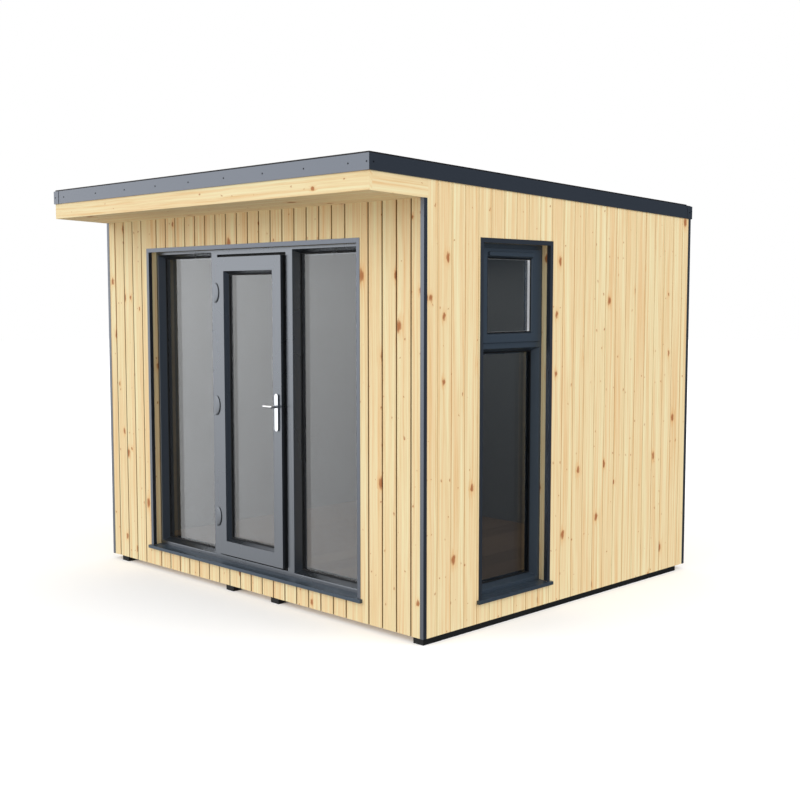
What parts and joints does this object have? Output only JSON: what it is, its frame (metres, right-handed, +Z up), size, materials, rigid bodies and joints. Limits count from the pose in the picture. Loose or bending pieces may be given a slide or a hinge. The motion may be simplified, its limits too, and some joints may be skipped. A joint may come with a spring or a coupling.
{
  "type": "garden office pod",
  "caption": "Timber-clad garden room with a falling flat roof, small canopy, glazed entrance with a hinged door, and a tall side window.",
  "frame": {"origin": "on the ground, under the centre of the roof outline", "axes": "+Z up, entrance facing -Y, +X towards the wall with the tall window"},
  "size_m": [3.007, 2.906, 2.5],
  "materials": {
    "pine": "planed softwood boards, clear oiled, knotty",
    "anthracite_metal": "satin powder coat on folded sheet",
    "anthracite_frame": "satin anthracite frame profile",
    "glass": "clear glazing",
    "chrome": "polished",
    "lining": "matt light grey wall lining",
    "laminate": "brown laminate boards",
    "structure_timber": "rough structural panel",
    "membrane": "matt black roofing rubber",
    "bearer_black": "black recycled plastic bearer"
  },
  "bodies": {
    "root": {"bearers": "bearer_black", "floor_panel": "structure_timber", "floor_boards": "laminate", "front_wall_left": "lining", "front_wall_right": "lining", "front_wall_head": "lining", "right_wall_front": "lining", "right_wall_rear": "lining", "right_wall_head": "lining", "back_wall": "lining", "left_wall": "lining", "front_cladding": "pine", "right_cladding": "pine", "back_cladding": "pine", "left_cladding": "pine", "roof_panel": "structure_timber", "roof_deck": "structure_timber", "roof_membrane": "membrane", "ceiling_lining": "lining", "canopy_fascia": "pine", "canopy_cheeks": "pine", "canopy_soffit": "pine", "roof_trim_front": "anthracite_metal", "roof_trim_back": "anthracite_metal", "roof_trim_sides": "anthracite_metal", "roof_trim_corners": "anthracite_metal", "corner_trims": "anthracite_metal", "entrance_trim": "anthracite_metal", "entrance_liner": "pine", "entrance_sill": "anthracite_metal", "entrance_frame": "anthracite_frame", "sidelight_glass": "glass", "hinge_frame_halves": "anthracite_frame", "window_trim": "anthracite_metal", "window_liner": "pine", "window_sill": "anthracite_metal", "window_frame": "anthracite_frame", "vent_sash": "anthracite_frame", "window_glass": "glass", "trickle_vent": "anthracite_frame"},
    "door": {"door_leaf": "anthracite_frame", "door_glass": "glass", "hinge_leaf_halves": "anthracite_frame", "handle_plates": "chrome"},
    "lever": {"door_lever": "chrome"}
  },
  "joints": [
    {"name": "door_hinge", "type": "hinge", "parent": "root", "child": "door", "pos_m": [-0.318, -1.044, 1.127], "axis": [0, 0, -1], "range_deg": [0, 90]},
    {"name": "lever_turn", "type": "hinge", "parent": "door", "child": "lever", "pos_m": [0.2735, -1.032, 1.165], "axis": [0, -1, 0], "range_deg": [0, 40], "stiffness_Nm_per_rad": 1.5, "springref_deg": -20.05}
  ]
}
